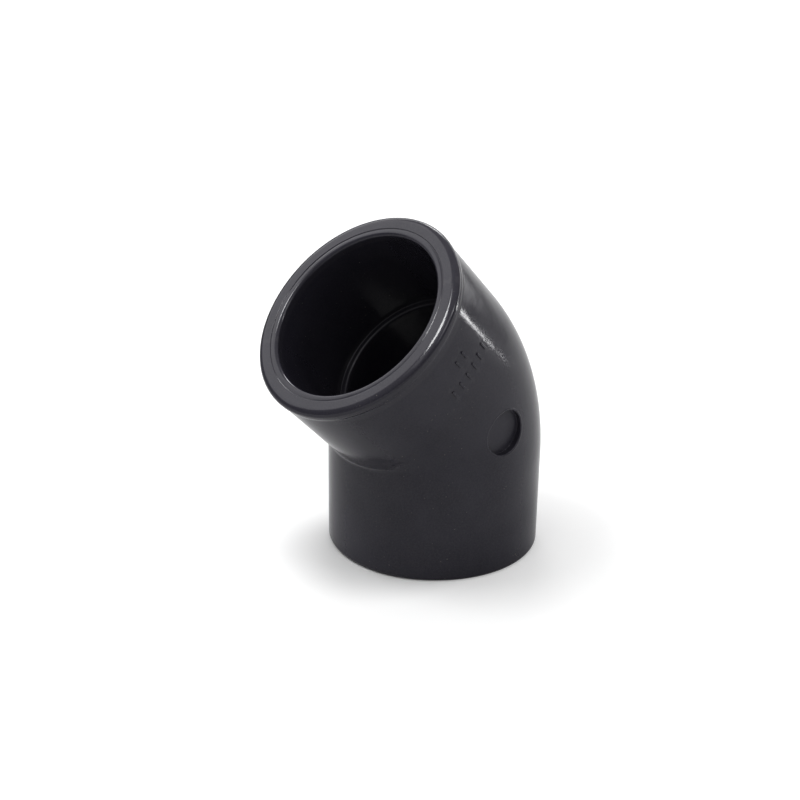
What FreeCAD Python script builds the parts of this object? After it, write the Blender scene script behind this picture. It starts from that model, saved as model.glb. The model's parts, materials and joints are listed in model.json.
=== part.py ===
import FreeCAD, Part
import math
import os

# A 45 degree elbow for solvent-welded PVC-U pressure pipe of 40 mm outside diameter, in
# millimetres.  The origin is the centre of the lower mouth face, the lower socket's axis is
# +Z, the upper socket leans towards -X, and the plane Y = 0 cuts the fitting in half.  The
# side of the fitting nearest the crossing of the two undersides is called the throat, and
# the long outer curve opposite it is called the heel.

# ---- driving dimensions -----------------------------------------------------------------
BEND_ANGLE = 45.0           # between the two socket axes, degrees
CORNER_TO_MOUTH = 36.0      # from the crossing of the two axes to either mouth face
BODY_RADIUS = 25.2          # outside of both sockets
SOCKET_RADIUS = 20.15       # takes the 40 mm pipe with a little clearance for the cement
SOCKET_DEPTH = 26.0         # from the mouth face to the pipe stop
WATERWAY_RADIUS = 18.5      # between the two pipe stops
HEEL_BEND_RADIUS = 31.3     # of the curved centre line that the heel follows
THROAT_FILLET = 0.9         # along the crease on the inside of the bend

LIP_HEIGHT = 0.2            # how far the lip round the upper mouth stands proud
LIP_LENGTH = 1.5            # along the socket, from the mouth face
LIP_RUNOUT = 0.6            # over which the lip falls back to the body
UPPER_EDGE_ROUND = 1.5      # outer edge of the upper mouth
LOWER_EDGE_ROUND = 1.0      # outer edge of the lower mouth

FACE_INNER_RADIUS = 22.0    # where the flat mouth face ends, at the groove round the entry bead
GROOVE_DEPTH = 0.15         # below the mouth face
GROOVE_SLOPE_WIDTH = 0.1    # of the little slope from the face down into the groove
BEAD_SINK = 0.05            # of the entry bead's crown below the mouth face
ENTRY_ROUND = 0.9           # from the bead's crown into the bore
STOP_EDGE_CHAMFER = 0.3     # on the inner edge of each pipe stop

GATE_RADIUS = 5.2           # round recess that the injection gate left on the -Y side
GATE_FLOOR_Y = -23.65       # its flat floor
GATE_SETBACK = 3.0          # from the axis crossing towards the throat
GATE_EDGE_ROUND = 0.2       # of its rim

BAR_LENGTH = 2.3            # raised location bars beside the upper mouth, along the axis
BAR_WIDTH = 0.6
BAR_HEIGHT = 0.25
BAR_EDGE_ROUND = 0.1
BAR_PITCH = 2.45            # round the body, from one bar to the next
BAR_CENTRE_ANGLE = -92.5    # middle of each row, round the upper axis, from the throat
BAR_ROWS = ((9.4, 2), (14.1, 6))    # distance from the mouth face, number of bars

SECTION_POINTS = 48         # of the spline that outlines the bend in one plane
CREASE_STEPS = 14           # planes on each side of the crease
CREASE_CROWDING = 1.8       # above 1 the planes stand closer together at the crease
JOIN_TOLERANCE = 1e-4       # between the bend's spline outline and the sockets' circles

# ---- what follows from them -------------------------------------------------------------
HALF_BEND = math.radians(BEND_ANGLE / 2)
THROAT_GAP = HEEL_BEND_RADIUS - BODY_RADIUS     # from the heel's pivot to the undersides
BEND_START = CORNER_TO_MOUTH - HEEL_BEND_RADIUS * math.tan(HALF_BEND)
WATERWAY_BEND_RADIUS = (CORNER_TO_MOUTH - SOCKET_DEPTH) / math.tan(HALF_BEND)

ORIGIN = FreeCAD.Vector(0, 0, 0)
Y_AXIS = FreeCAD.Vector(0, 1, 0)
Z_AXIS = FreeCAD.Vector(0, 0, 1)
CORNER = FreeCAD.Vector(0, 0, CORNER_TO_MOUTH)
PIVOT = FreeCAD.Vector(-HEEL_BEND_RADIUS, 0, BEND_START)
OUTWARD_UPPER = FreeCAD.Rotation(Y_AXIS, -BEND_ANGLE).multVec(Z_AXIS)
UPPER_MOUTH = FreeCAD.Placement(
    CORNER + OUTWARD_UPPER * CORNER_TO_MOUTH,
    FreeCAD.Rotation(Y_AXIS, 180 - BEND_ANGLE),
)


# ---- drawing helpers --------------------------------------------------------------------
def at_upper_mouth(shape):
    """A shape made on the lower mouth, with Z into the socket, moved to the upper mouth."""
    moved = shape.copy()
    moved.Placement = UPPER_MOUTH.multiply(moved.Placement)
    return moved


def profile_point(radius, depth):
    """A point of a turned profile: its distance from the axis and from the mouth face."""
    return FreeCAD.Vector(radius, 0, depth)


def polyline(points):
    edges = []
    for start, end in zip(points[:-1], points[1:]):
        edges.append(Part.LineSegment(start, end).toShape())
    return edges


def turned_arc(centre, radius, start_degrees, end_degrees):
    """An arc of a turned profile; its angles run from outwards towards depth."""
    points = []
    for degrees in (start_degrees, (start_degrees + end_degrees) / 2, end_degrees):
        angle = math.radians(degrees)
        reach = FreeCAD.Vector(math.cos(angle), 0, math.sin(angle)) * radius
        points.append(centre + reach)
    return Part.Arc(*points).toShape()


def turned_solid(edges):
    face = Part.Face(Part.Wire(edges))
    return face.revolve(ORIGIN, Z_AXIS, 360)


# ---- the outside ------------------------------------------------------------------------
def plain_socket_outside():
    """The lower socket, from its mouth face to the start of the bend."""
    flat_end = BODY_RADIUS - LOWER_EDGE_ROUND
    edge_centre = profile_point(flat_end, LOWER_EDGE_ROUND)
    edges = polyline([profile_point(0, 0), profile_point(flat_end, 0)])
    edges.append(turned_arc(edge_centre, LOWER_EDGE_ROUND, -90, 0))
    edges += polyline([
        profile_point(BODY_RADIUS, LOWER_EDGE_ROUND),
        profile_point(BODY_RADIUS, BEND_START),
        profile_point(0, BEND_START),
        profile_point(0, 0),
    ])
    return turned_solid(edges)


def lipped_socket_outside():
    """The upper socket: its rounded lip falls back to the body in a shallow S curve."""
    lip_radius = BODY_RADIUS + LIP_HEIGHT
    flat_end = lip_radius - UPPER_EDGE_ROUND
    runout_end = LIP_LENGTH + LIP_RUNOUT
    half_run = LIP_RUNOUT / 2
    half_drop = LIP_HEIGHT / 2
    curve_radius = (half_run ** 2 + half_drop ** 2) / (2 * half_drop)
    curve_turn = math.degrees(math.asin(half_run / curve_radius))
    edge_centre = profile_point(flat_end, UPPER_EDGE_ROUND)
    convex_centre = profile_point(lip_radius - curve_radius, LIP_LENGTH)
    concave_centre = profile_point(BODY_RADIUS + curve_radius, runout_end)
    edges = polyline([profile_point(0, 0), profile_point(flat_end, 0)])
    edges.append(turned_arc(edge_centre, UPPER_EDGE_ROUND, -90, 0))
    edges.append(turned_arc(convex_centre, curve_radius, 0, curve_turn))
    edges.append(turned_arc(concave_centre, curve_radius, 180 + curve_turn, 180))
    edges += polyline([
        profile_point(BODY_RADIUS, runout_end),
        profile_point(BODY_RADIUS, BEND_START),
        profile_point(0, BEND_START),
        profile_point(0, 0),
    ])
    return at_upper_mouth(turned_solid(edges))


def throat_distance(turn):
    """From the heel's pivot out to the throat, in the direction turn (radians).

    The throat is the straight undersides of the two sockets with a filleted corner."""
    from_middle = turn - HALF_BEND
    from_nearer_end = HALF_BEND - abs(from_middle)
    fillet_start = math.atan2((THROAT_GAP - THROAT_FILLET) * math.tan(HALF_BEND), THROAT_GAP)
    if from_nearer_end <= fillet_start:
        return THROAT_GAP / math.cos(from_nearer_end)
    centre_distance = (THROAT_GAP - THROAT_FILLET) / math.cos(HALF_BEND)
    sideways = centre_distance * math.sin(from_middle)
    return centre_distance * math.cos(from_middle) + math.sqrt(THROAT_FILLET ** 2 - sideways ** 2)


def bend_section(turn):
    """The outline of the bend in the plane that stands at the angle turn round the pivot.

    It is a half circle on the heel's side and a half ellipse on the throat's, which meet
    smoothly at the widest point, drawn as one closed spline that starts at the heel."""
    outward = FreeCAD.Vector(math.cos(turn), 0, math.sin(turn))
    centre = PIVOT + outward * HEEL_BEND_RADIUS
    throat_reach = HEEL_BEND_RADIUS - throat_distance(turn)
    points = []
    for index in range(SECTION_POINTS):
        angle = 2 * math.pi * index / SECTION_POINTS
        reach = BODY_RADIUS if math.cos(angle) > 0 else throat_reach
        points.append(centre + outward * (reach * math.cos(angle))
                      + Y_AXIS * (BODY_RADIUS * math.sin(angle)))
    outline = Part.BSplineCurve()
    knots = [index / SECTION_POINTS for index in range(SECTION_POINTS + 1)]
    outline.interpolate(Points=points, PeriodicFlag=True, Parameters=knots)
    return Part.Wire([outline.toShape()])


def bend_outside():
    """Lofted through sections that crowd together over the crease in the throat."""
    crease = BEND_ANGLE / 2
    sections = []
    for steps in range(-CREASE_STEPS, CREASE_STEPS + 1):
        share = steps / CREASE_STEPS
        turn = crease + crease * math.copysign(abs(share) ** CREASE_CROWDING, share)
        sections.append(bend_section(math.radians(turn)))
    return Part.makeLoft(sections, True, False)


# ---- the hollow inside ------------------------------------------------------------------
def socket_hollow():
    """One socket's bore, with the groove and the rounded entry bead at its mouth.

    The bead's outer side is an arc that is level at the crown and ends in the groove."""
    entry_end = BEAD_SINK + ENTRY_ROUND
    crown_radius = SOCKET_RADIUS + ENTRY_ROUND
    groove_radius = FACE_INNER_RADIUS - GROOVE_SLOPE_WIDTH
    bead_run = groove_radius - crown_radius
    bead_fall = GROOVE_DEPTH - BEAD_SINK
    bead_curve = (bead_run ** 2 + bead_fall ** 2) / (2 * bead_fall)
    groove_angle = -90 + math.degrees(math.asin(bead_run / bead_curve))
    bead_centre = profile_point(crown_radius, BEAD_SINK + bead_curve)
    entry_centre = profile_point(crown_radius, entry_end)
    above_mouth = -1.0
    edges = polyline([
        profile_point(0, above_mouth),
        profile_point(FACE_INNER_RADIUS, above_mouth),
        profile_point(FACE_INNER_RADIUS, 0),
        profile_point(groove_radius, GROOVE_DEPTH),
    ])
    edges.append(turned_arc(bead_centre, bead_curve, groove_angle, -90))
    edges.append(turned_arc(entry_centre, ENTRY_ROUND, -90, -180))
    edges += polyline([
        profile_point(SOCKET_RADIUS, entry_end),
        profile_point(SOCKET_RADIUS, SOCKET_DEPTH),
        profile_point(0, SOCKET_DEPTH),
        profile_point(0, above_mouth),
    ])
    return turned_solid(edges)


def waterway_hollow():
    """A round passage that bends from one pipe stop to the other."""
    start = FreeCAD.Vector(0, 0, SOCKET_DEPTH)
    pivot = FreeCAD.Vector(-WATERWAY_BEND_RADIUS, 0, SOCKET_DEPTH)
    section = Part.Face(Part.Wire(Part.makeCircle(WATERWAY_RADIUS, start, Z_AXIS)))
    return section.revolve(pivot, -Y_AXIS, BEND_ANGLE)


# ---- marks on the -Y side ---------------------------------------------------------------
def gate_recess():
    """A flat-bottomed round pocket, set back from the axis crossing along the bisector."""
    towards_throat = FreeCAD.Vector(-math.cos(HALF_BEND), 0, -math.sin(HALF_BEND))
    floor_centre = CORNER + towards_throat * GATE_SETBACK + Y_AXIS * GATE_FLOOR_Y
    return Part.makeCylinder(GATE_RADIUS, BODY_RADIUS, floor_centre, -Y_AXIS)


def location_bar(depth, angle):
    """One raised bar with round ends, standing on the upper socket along its axis."""
    half_width = BAR_WIDTH / 2
    half_straight = (BAR_LENGTH - BAR_WIDTH) / 2
    root = BODY_RADIUS - BAR_HEIGHT
    straight = Part.makeBox(
        3 * BAR_HEIGHT, BAR_WIDTH, 2 * half_straight,
        FreeCAD.Vector(root, -half_width, -half_straight),
    )
    blank = straight
    for end in (-half_straight, half_straight):
        blank = blank.fuse(Part.makeCylinder(
            half_width, 3 * BAR_HEIGHT, FreeCAD.Vector(root, 0, end), FreeCAD.Vector(1, 0, 0)))
    crown = Part.makeCylinder(
        BODY_RADIUS + BAR_HEIGHT, 2 * BAR_LENGTH, FreeCAD.Vector(0, 0, -BAR_LENGTH), Z_AXIS)
    bar = blank.removeSplitter().common(crown)
    top_edges = [edge for edge in bar.Edges
                 if min(vertex.X for vertex in edge.Vertexes) > BODY_RADIUS + BAR_HEIGHT / 2]
    bar = bar.makeFillet(BAR_EDGE_ROUND, top_edges)
    bar.Placement = FreeCAD.Placement(
        FreeCAD.Vector(0, 0, depth), FreeCAD.Rotation(Z_AXIS, angle))
    return at_upper_mouth(bar)


def location_bars():
    bars = []
    pitch_degrees = math.degrees(BAR_PITCH / BODY_RADIUS)
    for depth, count in BAR_ROWS:
        for index in range(count):
            steps_from_middle = index - (count - 1) / 2
            bars.append(location_bar(depth, BAR_CENTRE_ANGLE + steps_from_middle * pitch_degrees))
    return bars


# ---- the fitting ------------------------------------------------------------------------
def round_gate_rim(shape):
    """Rounds the edge where the gate recess breaks through the outside."""
    solid = shape.Solids[0]
    walls = [face for face in solid.Faces
             if isinstance(face.Surface, Part.Cylinder)
             and abs(face.Surface.Radius - GATE_RADIUS) < JOIN_TOLERANCE]
    floor_limit = GATE_FLOOR_Y - JOIN_TOLERANCE
    rim = [edge for wall in walls for edge in wall.Edges
           if max(vertex.Y for vertex in edge.Vertexes) < floor_limit]
    return solid.makeFillet(GATE_EDGE_ROUND, rim)


def break_stop_edges(shape):
    """Takes the sharp corner off the inner edge of each pipe stop."""
    solid = shape.Solids[0]
    edges = [edge for edge in solid.Edges
             if isinstance(edge.Curve, Part.Circle)
             and abs(edge.Curve.Radius - WATERWAY_RADIUS) < JOIN_TOLERANCE]
    return solid.makeChamfer(STOP_EDGE_CHAMFER, edges)


def elbow_body():
    outside = plain_socket_outside().multiFuse(
        [bend_outside(), lipped_socket_outside()], JOIN_TOLERANCE)
    body = round_gate_rim(outside.removeSplitter().cut(gate_recess()))
    body = body.multiFuse(location_bars()).removeSplitter()
    for hollow in (socket_hollow(), at_upper_mouth(socket_hollow()), waterway_hollow()):
        body = body.cut(hollow)
    return break_stop_edges(body.removeSplitter()).Solids[0]


os.makedirs("parts", exist_ok=True)
elbow_body().exportStep("parts/elbow_body.step")
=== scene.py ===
"""The looks of a 45 degree solvent-weld elbow for 40 mm pressure pipe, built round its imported
CAD part: one closed, all-quad mesh of the moulding, its moulded plastic, and a white studio."""
import json
import math
from collections import namedtuple

import bmesh
import bpy
from mathutils import Matrix, Vector, noise


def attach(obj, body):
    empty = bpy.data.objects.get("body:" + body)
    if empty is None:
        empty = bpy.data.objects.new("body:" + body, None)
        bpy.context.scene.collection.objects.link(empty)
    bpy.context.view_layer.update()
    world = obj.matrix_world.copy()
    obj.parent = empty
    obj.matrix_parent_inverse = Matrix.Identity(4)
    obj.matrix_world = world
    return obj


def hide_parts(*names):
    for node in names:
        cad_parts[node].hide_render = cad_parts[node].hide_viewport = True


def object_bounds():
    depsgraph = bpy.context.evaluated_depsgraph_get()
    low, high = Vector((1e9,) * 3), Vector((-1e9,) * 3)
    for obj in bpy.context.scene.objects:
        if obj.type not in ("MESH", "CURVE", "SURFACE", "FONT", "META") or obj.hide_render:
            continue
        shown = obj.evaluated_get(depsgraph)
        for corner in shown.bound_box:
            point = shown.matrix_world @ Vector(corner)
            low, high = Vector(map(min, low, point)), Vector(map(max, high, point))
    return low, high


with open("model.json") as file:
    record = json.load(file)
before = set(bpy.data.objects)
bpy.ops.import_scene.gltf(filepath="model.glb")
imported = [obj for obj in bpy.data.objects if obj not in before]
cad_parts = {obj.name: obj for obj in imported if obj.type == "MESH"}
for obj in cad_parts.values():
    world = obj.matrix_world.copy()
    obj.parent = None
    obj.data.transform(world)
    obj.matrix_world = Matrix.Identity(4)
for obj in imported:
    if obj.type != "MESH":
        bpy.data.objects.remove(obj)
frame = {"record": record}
cad_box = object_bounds()

MM = 0.001                  # the shape below is written in millimetres, as its drawing is
X_AXIS = Vector((1, 0, 0))
Y_AXIS = Vector((0, 1, 0))
Z_AXIS = Vector((0, 0, 1))

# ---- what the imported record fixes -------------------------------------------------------
mounts = {mount["name"]: mount for mount in frame["record"]["mounts"]}
SOCKET_RADIUS = mounts["lower_socket"]["dims"]["r_mm"]
UPPER_OUTWARD = Vector(mounts["upper_socket"]["axis"])
upper_point = Vector(mounts["upper_socket"]["pos_m"]) / MM
CORNER_TO_MOUTH = upper_point.z - upper_point.x * UPPER_OUTWARD.z / UPPER_OUTWARD.x
BEND_ANGLE = UPPER_OUTWARD.angle(Z_AXIS)

# ---- the rest of the drawing, in millimetres --------------------------------------------
BODY_RADIUS = 25.2          # outside of both sockets
SOCKET_DEPTH = 26.0         # from a mouth face to its pipe stop
WATERWAY_RADIUS = 18.5      # between the two pipe stops
HEEL_BEND_RADIUS = 31.3     # of the curved centre line that the outer curve follows
THROAT_FILLET = 2.0         # along the crease on the inside of the bend
LIP_RADIUS = 25.4           # the lip round the upper mouth stands 0.2 proud
LIP_RUN = (1.5, 3.1)        # depths between which it falls back to the body
LIP_CURVE = 3.0             # radius of both halves of that S curve
RIM_SHOULDER = 24.25        # where the upper mouth face starts to slope away, and how gently
RIM_SHOULDER_ROUND = 2.6
RIM_EDGE_DEPTH = 0.55       # where that slope meets the lip, and the rounding there
RIM_EDGE_ROUND = 0.95
LOWER_EDGE_ROUND = 1.0      # outer edge of the lower mouth
FACE_INNER_RADIUS = 22.0    # where a flat mouth face ends
GROOVE_RADIUS = 21.9        # of the fine groove round the entry bead, and its depth
GROOVE_DEPTH = 0.15
BEAD_SHOULDER = 21.475      # where the bead turns down towards the groove
BEAD_CURVE = 3.6            # how gently it does
BEAD_SINK = 0.05            # of the bead's crown below the mouth face
ENTRY_ROUND = 0.9           # from the bead's crown into the bore
STOP_CORNER = 0.25          # fillet between the bore and its pipe stop
STOP_EDGE_ROUND = 0.7       # on the inner edge of the stop
FACE_BREAK = 0.04           # the least rounding that a mould leaves

GATE_RADIUS = 5.2           # round recess left by the injection gate, on the -Y side
GATE_FLOOR_Y = -23.65
GATE_SETBACK = 3.0          # from the crossing of the axes towards the throat
GATE_EDGE_ROUND = 0.25      # its rim, and the fillet round its floor
GATE_FLOOR_FILLET = 0.1
GATE_ROUND_SHARE = 0.45     # most of the recess's depth that either may take up
WITNESS_WIDTH = 0.3         # faint ridge that the edge of the mould's insert left round it
WITNESS_HEIGHT = 0.04

BAR_LENGTH = 2.3            # raised location bars beside the upper mouth
BAR_WIDTH = 0.6
BAR_HEIGHT = 0.25
BAR_ROOT_FILLET = 0.04
BAR_EDGE_ROUND = 0.06
BAR_ANGLE = math.radians(-87.5)     # middle of both rows, round the axis from the heel
BAR_ROWS = ((9.4, 2), (14.1, 6))    # depth from the mouth face, number of bars

SINK_DEPTH = 0.035          # how far the cooled walls draw in, at most
SINK_SPREAD = 9.0           # from one shallow to the next

# ---- how finely it is meshed ------------------------------------------------------------
COLUMNS = 256               # round the fitting
BEND_ROWS = 80
WATERWAY_ROWS = 30
LONGEST_CELL = 0.8          # along straight walls
HOLD = 0.06                 # distance of the rows that hold a flat next to a rounding
SAME_RADIUS = 0.001         # rows closer than this to the body's radius lie on it
BAR_COLUMNS = 4             # cells of the patch that each bar takes up, across and along
BAR_CELLS = 8
BAR_PATCH_LENGTH = 3.2
GATE_HALF_COLUMNS = 12      # half the patch that the gate recess takes up
GATE_HALF_ROWS = 24
MATT_MARK = "matt"          # attribute of the vertices that the mould's insert left matt

HALF_BEND = BEND_ANGLE / 2
THROAT_GAP = HEEL_BEND_RADIUS - BODY_RADIUS
BEND_START = CORNER_TO_MOUTH - HEEL_BEND_RADIUS * math.tan(HALF_BEND)
WATERWAY_BEND_RADIUS = (CORNER_TO_MOUTH - SOCKET_DEPTH) / math.tan(HALF_BEND)
CORNER = Z_AXIS * CORNER_TO_MOUTH
HEEL_PIVOT = Vector((-HEEL_BEND_RADIUS, 0, BEND_START))
WATERWAY_PIVOT = Vector((-WATERWAY_BEND_RADIUS, 0, SOCKET_DEPTH))

# A socket end: the middle of its mouth, the way in, and the way towards the heel.
End = namedtuple("End", "mouth inward heelward")
LOWER = End(Vector((0, 0, 0)), Z_AXIS, X_AXIS)
UPPER = End(
    CORNER + UPPER_OUTWARD * CORNER_TO_MOUTH,
    -UPPER_OUTWARD,
    Vector((math.cos(BEND_ANGLE), 0, math.sin(BEND_ANGLE))),
)


# ---- rows: each is a function from the angle round the fitting to a point ---------------
# The angle goes from the heel, the outer side of the bend, towards +Y.
def turned_direction(turn):
    """Out from a bend's pivot; turn goes from 0 at the lower socket to BEND_ANGLE."""
    return Vector((math.cos(turn), 0, math.sin(turn)))


def socket_row(end, radius, depth):
    centre = end.mouth + end.inward * depth
    return lambda angle: (
        centre + end.heelward * (radius * math.cos(angle)) + Y_AXIS * (radius * math.sin(angle)))


def waterway_row(share):
    """On the bent passage between the pipe stops, starting clear of their rounded edges."""
    def point(angle):
        from_pivot = WATERWAY_BEND_RADIUS + WATERWAY_RADIUS * math.cos(angle)
        edge_turn = math.asin((STOP_EDGE_ROUND + HOLD) / from_pivot)
        turn = edge_turn + (BEND_ANGLE - 2 * edge_turn) * share
        across = Y_AXIS * (WATERWAY_RADIUS * math.sin(angle))
        return WATERWAY_PIVOT + turned_direction(turn) * from_pivot + across

    return point


def throat_distance(turn):
    """From the heel's pivot out to the throat: the undersides of the two sockets, straight,
    with a filleted corner between them."""
    from_middle = turn - HALF_BEND
    from_nearer_end = HALF_BEND - abs(from_middle)
    to_fillet_centre = THROAT_GAP - THROAT_FILLET
    fillet_start = math.atan2(to_fillet_centre * math.tan(HALF_BEND), THROAT_GAP)
    if from_nearer_end <= fillet_start:
        return THROAT_GAP / math.cos(from_nearer_end)
    centre_distance = to_fillet_centre / math.cos(HALF_BEND)
    sideways = centre_distance * math.sin(from_middle)
    along = centre_distance * math.cos(from_middle)
    return along + math.sqrt(THROAT_FILLET ** 2 - sideways ** 2)


def bend_reach(turn, heelward):
    """From the bend's centre line out to its skin, on the heel's side where heelward is over
    zero and on the throat's side elsewhere."""
    if heelward > 0:
        return BODY_RADIUS
    return HEEL_BEND_RADIUS - throat_distance(turn)


def bend_row(turn):
    """Half a circle on the heel's side and half an ellipse on the throat's."""
    outward = turned_direction(turn)

    def point(angle):
        heelward = math.cos(angle)
        from_pivot = HEEL_BEND_RADIUS + bend_reach(turn, heelward) * heelward
        return HEEL_PIVOT + outward * from_pivot + Y_AXIS * (BODY_RADIUS * math.sin(angle))

    return point


def column_angle(column):
    return 2 * math.pi * column / COLUMNS


def nearest_column(angle):
    return round(angle / (2 * math.pi) * COLUMNS) % COLUMNS


# ---- turned profiles --------------------------------------------------------------------
def spaced(start, end, cells):
    """The ends and the points between them, evenly spaced."""
    return [start + (end - start) * step / cells for step in range(cells + 1)]


def rounded_profile(corners):
    """Points (radius, depth) through corners (radius, depth, rounding, steps).

    Each rounding becomes an arc, with a point just beyond either end of it, so that the
    flats beside it keep their own shading."""
    places = [Vector(corner[:2]) for corner in corners]
    points = [places[0]]
    for index in range(1, len(corners) - 1):
        rounding, steps = corners[index][2:]
        here = places[index]
        back = (places[index - 1] - here).normalized()
        ahead = (places[index + 1] - here).normalized()
        if rounding == 0:
            points.append(here)
            continue
        half_inside = back.angle(ahead) / 2
        reach = rounding / math.tan(half_inside)
        middle = here + (back + ahead).normalized() * (rounding / math.sin(half_inside))
        start = here + back * reach - middle
        turn = math.pi - 2 * half_inside
        side = 1 if back.x * ahead.y - back.y * ahead.x < 0 else -1
        points.append(here + back * (reach + HOLD))
        for step in range(steps + 1):
            angle = side * turn * step / steps
            points.append(middle + Matrix.Rotation(angle, 2) @ start)
        points.append(here + ahead * (reach + HOLD))
    points.append(places[-1])
    return points


def without_crowding(points, least=HOLD / 3):
    """Drops the points that two neighbouring roundings put almost on top of each other, and
    those where a holding row has run past the next rounding."""
    kept = [points[0]]
    for index in range(1, len(points) - 1):
        step = points[index] - kept[-1]
        ahead = points[index + 1] - points[index]
        if step.length >= least and step.dot(ahead) > 0:
            kept.append(points[index])
    kept.append(points[-1])
    return kept


def divided(points):
    """The same points, with every long run cut into cells no longer than LONGEST_CELL."""
    result = [points[0]]
    for start, end in zip(points[:-1], points[1:]):
        cells = math.ceil((end - start).length / LONGEST_CELL - 1e-6)
        result += spaced(start, end, max(cells, 1))[1:]
    return result


def mouth_profile(outer_corners):
    """From the inner edge of the pipe stop, out along the bore, round the mouth and back
    down the outside."""
    return divided(without_crowding(rounded_profile([
        (WATERWAY_RADIUS, SOCKET_DEPTH + STOP_EDGE_ROUND + HOLD, 0, 0),
        (WATERWAY_RADIUS, SOCKET_DEPTH, STOP_EDGE_ROUND, 8),
        (SOCKET_RADIUS, SOCKET_DEPTH, STOP_CORNER, 4),
        (SOCKET_RADIUS, BEAD_SINK, ENTRY_ROUND, 10),
        (BEAD_SHOULDER, BEAD_SINK, BEAD_CURVE, 5),
        (GROOVE_RADIUS, GROOVE_DEPTH, FACE_BREAK, 3),
        (FACE_INNER_RADIUS, 0, FACE_BREAK, 3),
        *outer_corners,
        (BODY_RADIUS, BEND_START, 0, 0),
    ])))


def lower_profile():
    return mouth_profile([(BODY_RADIUS, 0, LOWER_EDGE_ROUND, 10)])


def upper_profile():
    """Its outside starts with the lip, and has the rows that the bars' patches need."""
    half_turn = math.atan2(LIP_RADIUS - BODY_RADIUS, LIP_RUN[1] - LIP_RUN[0])
    corner_reach = LIP_CURVE * math.tan(half_turn)
    outer = [
        (RIM_SHOULDER, 0, RIM_SHOULDER_ROUND, 8),
        (LIP_RADIUS, RIM_EDGE_DEPTH, RIM_EDGE_ROUND, 10),
        (LIP_RADIUS, LIP_RUN[0] + corner_reach, LIP_CURVE, 4),
        (BODY_RADIUS, LIP_RUN[1] - corner_reach, LIP_CURVE, 4),
    ]
    for depth, _ in BAR_ROWS:
        half = BAR_PATCH_LENGTH / 2
        for place in spaced(depth - half, depth + half, BAR_CELLS):
            outer.append((BODY_RADIUS, place, 0, 0))
    return mouth_profile(outer)


# ---- the closed grid --------------------------------------------------------------------
def all_rows():
    """Every row, in a loop: lower bore, lower mouth, outside, upper mouth, upper bore and
    back through the waterway.  Also the index of the first row of the bend's outside, and
    the indices of the rows of the upper outside by their depth."""
    rows = [socket_row(LOWER, *point) for point in lower_profile()]
    bend_first = len(rows) - 1
    rows += [bend_row(turn) for turn in spaced(0, BEND_ANGLE, BEND_ROWS)[1:-1]]
    upper_at = {}
    for point in reversed(upper_profile()):
        if abs(point.x - BODY_RADIUS) < SAME_RADIUS:
            upper_at[round(point.y, 3)] = len(rows)
        rows.append(socket_row(UPPER, *point))
    rows += [waterway_row(share) for share in spaced(1, 0, WATERWAY_ROWS)[1:-1]]
    return rows, bend_first, upper_at


# A block of cells that a detail replaces: its first and last row, and its first and last column.
Block = namedtuple("Block", "row_first row_last column_first column_last")


def block_of(row_middle, half_rows, column_middle, half_columns):
    return Block(
        row_middle - half_rows, row_middle + half_rows,
        column_middle - half_columns, column_middle + half_columns,
    )


def block_loop(block):
    """The (row, column) places round a block's edge, side by side."""
    rows = range(block.row_first, block.row_last)
    columns = range(block.column_first, block.column_last)
    loop = [(block.row_first, column) for column in columns]
    loop += [(row, block.column_last) for row in rows]
    loop += [(block.row_last, column + 1) for column in reversed(columns)]
    loop += [(row + 1, block.column_first) for row in reversed(rows)]
    return loop


def make_grid(mesh, rows, blocks):
    """Vertices and quads everywhere but inside the blocks.  Returns the vertices by place."""
    inside = set()
    hidden_cells = set()
    for block in blocks:
        for row in range(block.row_first, block.row_last):
            for column in range(block.column_first, block.column_last):
                hidden_cells.add((row, column % COLUMNS))
                if row > block.row_first and column > block.column_first:
                    inside.add((row, column % COLUMNS))
    grid = {}
    for index, row in enumerate(rows):
        for column in range(COLUMNS):
            if (index, column) not in inside:
                grid[index, column] = mesh.verts.new(row(column_angle(column)))
    for row in range(len(rows)):
        next_row = (row + 1) % len(rows)
        for column in range(COLUMNS):
            if (row, column) in hidden_cells:
                continue
            next_column = (column + 1) % COLUMNS
            corners = ((row, column), (row, next_column), (next_row, next_column), (next_row, column))
            mesh.faces.new([grid[corner] for corner in corners])
    return grid


def join_loops(mesh, outer, inner):
    count = len(outer)
    for index in range(count):
        after = (index + 1) % count
        mesh.faces.new((outer[index], outer[after], inner[after], inner[index]))


def fill_loop(mesh, loop, columns, rows, lay):
    """Fills a loop of 2 * (columns + rows) vertices with a grid of quads.

    The inner vertices are spread between the four sides, and lay() puts each on the surface."""
    places = {}
    for column in range(columns):
        places[0, column] = loop[column]
        places[rows, columns - column] = loop[columns + rows + column]
    for row in range(rows):
        places[row, columns] = loop[columns + row]
        places[rows - row, 0] = loop[2 * columns + rows + row]

    def corner_blend(u, v):
        return (
            places[0, 0].co * ((1 - u) * (1 - v)) + places[0, columns].co * (u * (1 - v))
            + places[rows, 0].co * ((1 - u) * v) + places[rows, columns].co * (u * v)
        )

    for row in range(1, rows):
        v = row / rows
        for column in range(1, columns):
            u = column / columns
            across = places[row, 0].co * (1 - u) + places[row, columns].co * u
            along = places[0, column].co * (1 - v) + places[rows, column].co * v
            places[row, column] = mesh.verts.new(lay(across + along - corner_blend(u, v)))
    for row in range(rows):
        for column in range(columns):
            corners = ((row, column), (row, column + 1), (row + 1, column + 1), (row + 1, column))
            mesh.faces.new([places[corner] for corner in corners])


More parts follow.
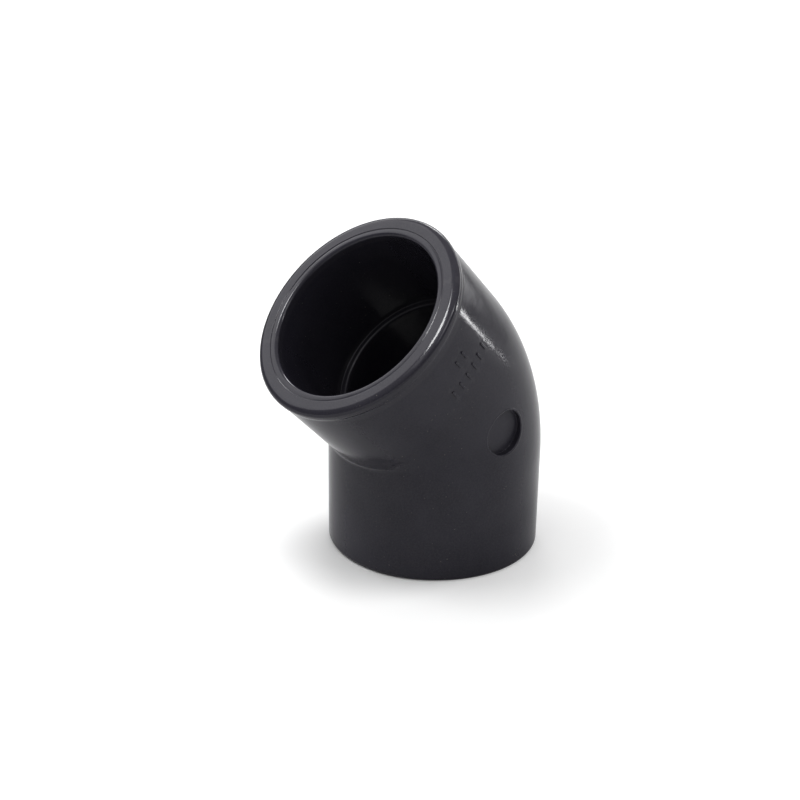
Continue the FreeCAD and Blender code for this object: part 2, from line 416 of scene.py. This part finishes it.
# ---- the gate recess --------------------------------------------------------------------
def outside_y(x, z):
    """Where the -Y side of the outside is, above a point of the plane Y = 0."""
    from_pivot = Vector((x, 0, z)) - HEEL_PIVOT
    turn = math.atan2(from_pivot.z, from_pivot.x)
    towards_heel = from_pivot.length - HEEL_BEND_RADIUS
    heelward = towards_heel / bend_reach(turn, towards_heel)
    return -BODY_RADIUS * math.sqrt(1 - heelward ** 2)


def add_gate(mesh, grid, block):
    """A round pocket with a flat floor: the block's edge eases into a circle, which crosses
    a faint ridge, rounds over the rim, drops down the wall and ends in a filleted floor."""
    setback = Vector((-math.cos(HALF_BEND), 0, -math.sin(HALF_BEND))) * GATE_SETBACK
    middle = CORNER + setback
    edge = [grid[row, column % COLUMNS] for row, column in block_loop(block)]
    bearings = []
    for vertex in edge:
        offset = vertex.co - middle
        bearings.append(Vector((offset.x, 0, offset.z)).normalized())

    def ring(radius, level):
        """A ring of vertices; level(place) gives the Y of each."""
        made = []
        for bearing in bearings:
            place = middle + bearing * radius
            place.y = level(place)
            made.append(mesh.verts.new(place))
        return made

    def skin(place):
        return outside_y(place.x, place.z)

    def share_of_depth(place, rounding):
        """A rounding, or less where the pocket is shallow."""
        return min(rounding, GATE_ROUND_SHARE * (GATE_FLOOR_Y - skin(place)))

    def wall_top(place):
        return skin(place) + share_of_depth(place, GATE_EDGE_ROUND)

    def wall_foot(place):
        return GATE_FLOOR_Y - share_of_depth(place, GATE_FLOOR_FILLET)

    loops = [edge]
    rim_radius = GATE_RADIUS + GATE_EDGE_ROUND
    for share in (0.3, 0.6, 0.85, 1.0):
        made = []
        for vertex, bearing in zip(edge, bearings):
            foot = middle + bearing * (rim_radius + WITNESS_WIDTH + HOLD)
            place = vertex.co.lerp(foot, share)
            place.y = skin(place)
            made.append(mesh.verts.new(place))
        loops.append(made)
    for share in spaced(1, 0, 6)[:-1]:
        lift = WITNESS_HEIGHT * math.sin(math.pi * share) ** 2
        loops.append(ring(rim_radius + WITNESS_WIDTH * share, lambda place: skin(place) - lift))
    quarter = math.pi / 2
    for angle in spaced(0, quarter, 6):
        radius = rim_radius - GATE_EDGE_ROUND * math.sin(angle)
        sunk = 1 - math.cos(angle)
        loops.append(ring(radius, lambda place: (
            skin(place) * (1 - sunk) + wall_top(place) * sunk)))
    for share in (0.08, 0.36, 0.64, 0.92):
        loops.append(ring(GATE_RADIUS, lambda place: (
            wall_top(place) * (1 - share) + wall_foot(place) * share)))
    for angle in spaced(0, quarter, 5):
        radius = GATE_RADIUS - GATE_FLOOR_FILLET * (1 - math.cos(angle))
        sunk = math.sin(angle)
        loops.append(ring(radius, lambda place: (
            wall_foot(place) * (1 - sunk) + GATE_FLOOR_Y * sunk)))
    floor_starts = len(mesh.verts)
    loops.append(ring(GATE_RADIUS - GATE_FLOOR_FILLET - HOLD, lambda place: GATE_FLOOR_Y))
    for outer, inner in zip(loops[:-1], loops[1:]):
        join_loops(mesh, outer, inner)
    columns = block.column_last - block.column_first
    rows = block.row_last - block.row_first
    fill_loop(mesh, loops[-1], columns, rows, lambda place: place)
    mesh.verts.ensure_lookup_table()
    matt = mesh.verts.layers.float[MATT_MARK]
    for vertex in mesh.verts[floor_starts:]:
        vertex[matt] = 1


# ---- the raised bars --------------------------------------------------------------------
def stadium(half_length, radius):
    """A bar's outline, as (across, along) points that pair off with its patch's edge: two on
    each eighth of a turn beside the long sides, four over each end."""
    half_straight = half_length - radius
    eighth = math.pi / 4
    outline = []

    def end_arc(along, first, last, cells):
        for angle in spaced(first, last, cells)[:-1]:
            outline.append(Vector((radius * math.cos(angle), along + radius * math.sin(angle))))

    for end in (-1, 1):
        start = 0 if end > 0 else math.pi
        along = end * half_straight
        end_arc(along, start + eighth, start + 3 * eighth, BAR_COLUMNS)
        end_arc(along, start + 3 * eighth, start + 4 * eighth, 2)
        side = -end * radius
        straight = spaced(end * half_straight, -end * half_straight, BAR_CELLS - 4)
        outline += [Vector((side, place)) for place in straight[:-1]]
        end_arc(-along, start + 4 * eighth, start + 5 * eighth, 2)
    return outline


def off_upper_axis(place):
    """From the upper socket's axis straight out to a place."""
    offset = place - UPPER.mouth
    return offset - UPPER.inward * offset.dot(UPPER.inward)


def at_height(place, height):
    """The place, moved straight out or in to a height above the body."""
    outward = off_upper_axis(place)
    return place + outward.normalized() * (BODY_RADIUS + height - outward.length)


def add_bar(mesh, grid, block, depth, angle):
    """A raised bar with round ends: the patch's edge eases into the bar's outline, which
    sweeps up a root fillet, rounds over and closes across the top."""
    edge = [grid[row, column % COLUMNS] for row, column in block_loop(block)]

    def on_body(across, along, height):
        turn = angle + across / BODY_RADIUS
        return socket_row(UPPER, BODY_RADIUS + height, depth - along)(turn)

    def ring(offset, height):
        outline = stadium(BAR_LENGTH / 2 + offset, BAR_WIDTH / 2 + offset)
        return [mesh.verts.new(on_body(*place, height)) for place in outline]

    quarter = math.pi / 2
    foot = ring(BAR_ROOT_FILLET + HOLD, 0)
    between = []
    for vertex, target in zip(edge, foot):
        halfway = vertex.co.lerp(target.co, 0.5)
        between.append(mesh.verts.new(at_height(halfway, 0)))
    loops = [edge, between, foot]
    for turn in spaced(0, quarter, 3):
        offset = BAR_ROOT_FILLET * (1 - math.sin(turn))
        loops.append(ring(offset, BAR_ROOT_FILLET * (1 - math.cos(turn))))
    for turn in spaced(0, quarter, 3):
        offset = -BAR_EDGE_ROUND * (1 - math.cos(turn))
        loops.append(ring(offset, BAR_HEIGHT - BAR_EDGE_ROUND * (1 - math.sin(turn))))
    for outer, inner in zip(loops[:-1], loops[1:]):
        join_loops(mesh, outer, inner)
    fill_loop(
        mesh, loops[-1], BAR_COLUMNS, BAR_CELLS, lambda place: at_height(place, BAR_HEIGHT))


# ---- the fitting ------------------------------------------------------------------------
def draw_in(mesh):
    """Moves the skin inwards by a slow, shallow noise, as thick walls do while they cool."""
    mesh.normal_update()
    moves = []
    for vertex in mesh.verts:
        share = 0.5 + 0.5 * noise.noise(vertex.co / SINK_SPREAD)
        moves.append(vertex.normal * (-SINK_DEPTH * min(max(share, 0), 1)))
    for vertex, move in zip(mesh.verts, moves):
        vertex.co += move


def build_elbow():
    rows, bend_first, upper_at = all_rows()
    gate_row = bend_first + BEND_ROWS // 2
    gate_column = nearest_column(-math.pi / 2)
    gate_block = block_of(gate_row, GATE_HALF_ROWS, gate_column, GATE_HALF_COLUMNS)
    middle_column = nearest_column(BAR_ANGLE)
    bars = []
    for depth, count in BAR_ROWS:
        row = upper_at[round(depth, 3)]
        first = middle_column - BAR_COLUMNS * count // 2
        for index in range(count):
            column = first + BAR_COLUMNS * index + BAR_COLUMNS // 2
            block = block_of(row, BAR_CELLS // 2, column, BAR_COLUMNS // 2)
            bars.append((block, depth, column_angle(column)))
    mesh = bmesh.new()
    mesh.verts.layers.float.new(MATT_MARK)
    grid = make_grid(mesh, rows, [gate_block] + [bar[0] for bar in bars])
    add_gate(mesh, grid, gate_block)
    for block, depth, angle in bars:
        add_bar(mesh, grid, block, depth, angle)
    bmesh.ops.recalc_face_normals(mesh, faces=mesh.faces)
    draw_in(mesh)
    mesh.transform(Matrix.Scale(MM, 4))
    data = bpy.data.meshes.new("elbow_moulding")
    mesh.to_mesh(data)
    mesh.free()
    data.shade_smooth()
    piece = bpy.data.objects.new("elbow_moulding", data)
    bpy.context.scene.collection.objects.link(piece)
    return piece


elbow = build_elbow()
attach(elbow, "root")
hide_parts("elbow_body")


# ---- material ---------------------------------------------------------------------------
PVC_DARK = (0.026, 0.024, 0.036)        # the two ends of the slow clouds in the colour
PVC_LIGHT = (0.036, 0.034, 0.048)
PVC_GRAIN = (0.050, 0.048, 0.058)
PVC_WORN = (0.070, 0.068, 0.078)        # rubbed edges
DUST = (0.30, 0.28, 0.24)
GRAIN_SHARE = 0.45          # how much of each layer shows at most
WORN_SHARE = 0.25
DUST_SHARE = 0.45

PVC_ROUGHNESS = (0.11, 0.16)            # from much handled to little handled
SCUFF_ROUGHNESS = 0.10      # what scuffs, dust and the matt floor of the gate recess add
DUST_ROUGHNESS = 0.2
MATT_ROUGHNESS = 0.28
REFRACTIVE_INDEX = 1.53     # of PVC

# A noise pattern: the size of its patches, its octaves, and how strong the finer ones are.
Pattern = namedtuple("Pattern", "size detail softness")
CLOUDS = Pattern(9 * MM, 4, 0.5)
GRAIN = Pattern(0.35 * MM, 2, 0.5)
DUST_SPECKS = Pattern(0.45 * MM, 1, 0.5)
DUST_PATCHES = Pattern(12 * MM, 2, 0.5)
HANDLING = Pattern(7 * MM, 5, 0.6)
SCUFFS = Pattern(2.5 * MM, 6, 0.7)
RIPPLE = Pattern(4 * MM, 2, 0.5)          # the mould's slow ripple and its fine texture
TEXTURE = Pattern(0.5 * MM, 3, 0.5)
RIPPLE_DEPTH = 0.03 * MM
TEXTURE_DEPTH = 0.006 * MM

# The levels of a noise, or of the edges' sharpness, between which a layer comes in.
CLOUD_LEVELS = (0.3, 0.7)
GRAIN_LEVELS = (0.35, 0.75)
WORN_LEVELS = (0.52, 0.60)
DUST_LEVELS = (0.74, 0.79)
DUST_PATCH_LEVELS = (0.5, 0.6)
HANDLING_LEVELS = (0.35, 0.7)
SCUFF_LEVELS = (0.62, 0.72)


def new_material(name):
    material = bpy.data.materials.new(name)
    material.use_nodes = True
    material.node_tree.nodes.clear()
    return material, material.node_tree


def fill(tree, socket, value):
    """Gives an input socket another node's output, three numbers of a colour, or a number."""
    if isinstance(value, bpy.types.NodeSocket):
        tree.links.new(value, socket)
    elif isinstance(value, tuple):
        socket.default_value = (*value, 1)
    else:
        socket.default_value = value


def calculated(tree, operation, first, second):
    node = tree.nodes.new("ShaderNodeMath")
    node.operation = operation
    fill(tree, node.inputs[0], first)
    fill(tree, node.inputs[1], second)
    return node.outputs["Value"]


def ramp(tree, value, levels, results, curve="LINEAR"):
    """Takes a value that goes between two levels to one that goes between two results."""
    node = tree.nodes.new("ShaderNodeMapRange")
    node.interpolation_type = curve
    names = ("From Min", "From Max", "To Min", "To Max")
    for name, number in zip(names, (*levels, *results)):
        node.inputs[name].default_value = number
    fill(tree, node.inputs["Value"], value)
    return node.outputs["Result"]


def blend(tree, share, first, second):
    """From the first colour to the second."""
    node = tree.nodes.new("ShaderNodeMix")
    node.data_type = "RGBA"
    share_socket, first_socket, second_socket = node.inputs[0], node.inputs[6], node.inputs[7]
    fill(tree, share_socket, share)
    fill(tree, first_socket, first)
    fill(tree, second_socket, second)
    return node.outputs[2]


def bump(tree, height, depth, normal=None):
    node = tree.nodes.new("ShaderNodeBump")
    node.inputs["Distance"].default_value = depth
    fill(tree, node.inputs["Height"], height)
    if normal:
        fill(tree, node.inputs["Normal"], normal)
    return node.outputs["Normal"]


def noise_value(tree, pattern):
    """A noise that is fixed to the object."""
    place = tree.nodes.new("ShaderNodeTexCoord").outputs["Object"]
    node = tree.nodes.new("ShaderNodeTexNoise")
    node.inputs["Scale"].default_value = 1 / pattern.size
    node.inputs["Detail"].default_value = pattern.detail
    node.inputs["Roughness"].default_value = pattern.softness
    fill(tree, node.inputs["Vector"], place)
    return node.outputs["Fac"]


def pvc_colour(tree, specks):
    """Cloudy charcoal with a fine grain, paler where edges are rubbed, and dust in places."""
    cloudy = ramp(tree, noise_value(tree, CLOUDS), CLOUD_LEVELS, (0, 1))
    colour = blend(tree, cloudy, PVC_DARK, PVC_LIGHT)
    grainy = ramp(tree, noise_value(tree, GRAIN), GRAIN_LEVELS, (0, GRAIN_SHARE))
    colour = blend(tree, grainy, colour, PVC_GRAIN)
    sharpness = tree.nodes.new("ShaderNodeNewGeometry").outputs["Pointiness"]
    worn = ramp(tree, sharpness, WORN_LEVELS, (0, WORN_SHARE))
    colour = blend(tree, worn, colour, PVC_WORN)
    dusty_places = ramp(tree, noise_value(tree, DUST_PATCHES), DUST_PATCH_LEVELS, (0, 1))
    return blend(tree, calculated(tree, "MULTIPLY", specks, dusty_places), colour, DUST)


def pvc_roughness(tree, specks):
    """A gloss that varies with handling; scuffs, specks and the matt floor lie on top."""
    matt = tree.nodes.new("ShaderNodeAttribute")
    matt.attribute_name = MATT_MARK
    roughness = ramp(tree, noise_value(tree, HANDLING), HANDLING_LEVELS, PVC_ROUGHNESS)
    for more in (
        ramp(tree, noise_value(tree, SCUFFS), SCUFF_LEVELS, (0, SCUFF_ROUGHNESS)),
        calculated(tree, "MULTIPLY", specks, DUST_ROUGHNESS),
        calculated(tree, "MULTIPLY", matt.outputs["Fac"], MATT_ROUGHNESS),
    ):
        roughness = calculated(tree, "ADD", roughness, more)
    return roughness


def moulded_pvc():
    """Charcoal PVC with a violet cast and the soft ripple of a polished mould."""
    material, tree = new_material("dark_grey_pvc")
    specks = ramp(tree, noise_value(tree, DUST_SPECKS), DUST_LEVELS, (0, DUST_SHARE))
    normal = bump(tree, noise_value(tree, RIPPLE), RIPPLE_DEPTH)
    normal = bump(tree, noise_value(tree, TEXTURE), TEXTURE_DEPTH, normal)
    shader = tree.nodes.new("ShaderNodeBsdfPrincipled")
    output = tree.nodes.new("ShaderNodeOutputMaterial")
    shader.inputs["IOR"].default_value = REFRACTIVE_INDEX
    fill(tree, shader.inputs["Base Color"], pvc_colour(tree, specks))
    fill(tree, shader.inputs["Roughness"], pvc_roughness(tree, specks))
    fill(tree, shader.inputs["Normal"], normal)
    fill(tree, output.inputs["Surface"], shader.outputs["BSDF"])
    return material


elbow.data.materials.append(moulded_pvc())

# ---- studio -----------------------------------------------------------------------------
centre = (cad_box[0] + cad_box[1]) / 2
CAMERA_AZIMUTH = math.radians(-43.499)
FLOOR_SIZE = 12.0
FLOOR_COLOUR = 0.66

# Two glows of the floor that add up: the point from which each grows, the distances between
# which it does, in metres, and its strength at either.  The first is weak near a point under
# the leaning socket, which paints a soft shadow on the floor there that no lamp casts; the
# second starts well beyond the fitting.
FLOOR_GLOWS_AND_PAINTED_SHADE = (
    ((-18 * MM, 2 * MM, 0), (10 * MM, 27 * MM), (0.03, 0.31)),
    ((0, 0, 0), (0.3, 1.2), (0, 0.49)),
)

ROOM_TO_CEILING_LIGHT = (0.35, 0.85)
CEILING_HEIGHTS = (0.2, 0.9)        # where it grows: 0 is the horizon, 1 is overhead

# name, azimuth, elevation, distance, width, height, radiance
SOFTBOXES = (
    ("front_left", -50, 58, 1.2, 0.5, 0.5, 0.9),
    ("front_right", 40, 45, 1.2, 0.5, 0.5, 2.0),
    ("left_back", -116, 36, 1.2, 0.8, 0.8, 1.35),
    ("right", 70, 40, 1.2, 0.2, 0.2, 8.0),
    ("back", -178, 46, 1.3, 0.4, 0.3, 6.5),
    ("strip", 113, 4, 0.6, 0.018, 0.13, 20.0),
    ("key", -76, 60, 1.2, 0.4, 0.22, 16.0),
    ("back_right_low", 138, 9, 1.5, 1.3, 0.4, 1.4),
    ("far_floor", 180, 35, 1.9, 3.2, 0.5, 1.6),
)


def floor_material():
    """Pale, with a glow that only the camera sees: the picture gets its white ground, which
    has no horizon, and the fitting still reflects a plain, darker floor. Under the leaning
    socket the glow is held low, which paints a soft shadow on the floor."""
    material, tree = new_material("white_floor")
    place = tree.nodes.new("ShaderNodeTexCoord").outputs["Object"]
    seen_directly = tree.nodes.new("ShaderNodeLightPath").outputs["Is Camera Ray"]
    glows = []
    # the first glow is held low under the leaning socket: a painted shadow on the floor
    for start, distances, strengths in FLOOR_GLOWS_AND_PAINTED_SHADE:
        distance = tree.nodes.new("ShaderNodeVectorMath")
        distance.operation = "DISTANCE"
        distance.inputs[1].default_value = start
        fill(tree, distance.inputs[0], place)
        glows.append(ramp(tree, distance.outputs["Value"], distances, strengths, "SMOOTHSTEP"))
    diffuse = tree.nodes.new("ShaderNodeBsdfDiffuse")
    glow = tree.nodes.new("ShaderNodeEmission")
    total = tree.nodes.new("ShaderNodeAddShader")
    output = tree.nodes.new("ShaderNodeOutputMaterial")
    fill(tree, diffuse.inputs["Color"], (FLOOR_COLOUR, FLOOR_COLOUR, FLOOR_COLOUR))
    strength = calculated(tree, "MULTIPLY", calculated(tree, "ADD", *glows), seen_directly)
    fill(tree, glow.inputs["Strength"], strength)
    fill(tree, total.inputs[0], diffuse.outputs["BSDF"])
    fill(tree, total.inputs[1], glow.outputs["Emission"])
    fill(tree, output.inputs["Surface"], total.outputs["Shader"])
    return material


def white_floor():
    data = bpy.data.meshes.new("floor")
    mesh = bmesh.new()
    bmesh.ops.create_grid(mesh, x_segments=8, y_segments=8, size=FLOOR_SIZE / 2)
    mesh.to_mesh(data)
    mesh.free()
    floor = bpy.data.objects.new("floor", data)
    floor.location = (0, 0, cad_box[0].z)
    bpy.context.scene.collection.objects.link(floor)
    data.materials.append(floor_material())


def studio_world():
    """A dim room under a brighter ceiling: the light grows from the horizon to overhead.
    The camera itself sees plain white past the floor's edge."""
    world = bpy.data.worlds.new("studio")
    world.use_nodes = True
    tree = world.node_tree
    background = tree.nodes["Background"]
    parts = tree.nodes.new("ShaderNodeSeparateXYZ")
    fill(tree, parts.inputs["Vector"], tree.nodes.new("ShaderNodeTexCoord").outputs["Generated"])
    light = ramp(tree, parts.outputs["Z"], CEILING_HEIGHTS, ROOM_TO_CEILING_LIGHT, "SMOOTHSTEP")
    seen_directly = tree.nodes.new("ShaderNodeLightPath").outputs["Is Camera Ray"]
    fill(tree, background.inputs["Color"], (1, 1, 1))
    fill(tree, background.inputs["Strength"], calculated(tree, "MAXIMUM", light, seen_directly))
    bpy.context.scene.world = world


def add_softbox(name, azimuth, elevation, distance, width, height, radiance):
    """A soft light that faces the fitting, placed as a photographer would from the camera:
    azimuth 0 is beside the camera, 90 to its right and 180 behind the fitting."""
    turn = CAMERA_AZIMUTH - math.pi / 2 + math.radians(azimuth)
    rise = math.radians(elevation)
    away = Vector((
        math.cos(turn) * math.cos(rise), math.sin(turn) * math.cos(rise), math.sin(rise)))
    data = bpy.data.lights.new(name, "AREA")
    data.shape = "RECTANGLE"
    data.size = width
    data.size_y = height
    data.energy = radiance * math.pi * width * height
    light = bpy.data.objects.new(name, data)
    light.location = centre + away * distance
    light.rotation_mode = "QUATERNION"
    light.rotation_quaternion = away.to_track_quat("Z", "Y")
    light.visible_camera = False
    bpy.context.scene.collection.objects.link(light)


white_floor()
studio_world()
for softbox in SOFTBOXES:
    add_softbox(*softbox)

# ---- camera -----------------------------------------------------------------------------
CAMERA_ELEVATION = math.radians(21.586)
CAMERA_ROLL = math.radians(0.814)
CAMERA_DISTANCE = 0.31390
CAMERA_LENS = 60.19         # on a 36 mm sensor
AIM_HEIGHT = 36.337 * MM    # the camera looks at a point this far up the lower axis, moved
AIM_RIGHT = -8.318 * MM     # by these two in the plane of its picture
AIM_UP = -1.716 * MM
TONE_GAMMA = 0.78           # under 1 darkens the middle tones, as in a contrasty print


def add_camera():
    back = Vector((
        math.sin(CAMERA_AZIMUTH) * math.cos(CAMERA_ELEVATION),
        -math.cos(CAMERA_AZIMUTH) * math.cos(CAMERA_ELEVATION),
        math.sin(CAMERA_ELEVATION),
    ))
    level = Vector((math.cos(CAMERA_AZIMUTH), math.sin(CAMERA_AZIMUTH), 0))
    turn = Matrix.Rotation(CAMERA_ROLL, 3, back)
    right = turn @ level
    up = turn @ back.cross(level)
    aim = Z_AXIS * AIM_HEIGHT + right * AIM_RIGHT + up * AIM_UP
    data = bpy.data.cameras.new("camera")
    data.lens = CAMERA_LENS
    data.sensor_width = 36
    camera = bpy.data.objects.new("camera", data)
    camera.matrix_world = Matrix((
        (right.x, up.x, back.x, aim.x + CAMERA_DISTANCE * back.x),
        (right.y, up.y, back.y, aim.y + CAMERA_DISTANCE * back.y),
        (right.z, up.z, back.z, aim.z + CAMERA_DISTANCE * back.z),
        (0, 0, 0, 1),
    ))
    bpy.context.scene.collection.objects.link(camera)
    bpy.context.scene.camera = camera


add_camera()
view = bpy.context.scene.view_settings
view.view_transform = "Standard"
view.gamma = TONE_GAMMA
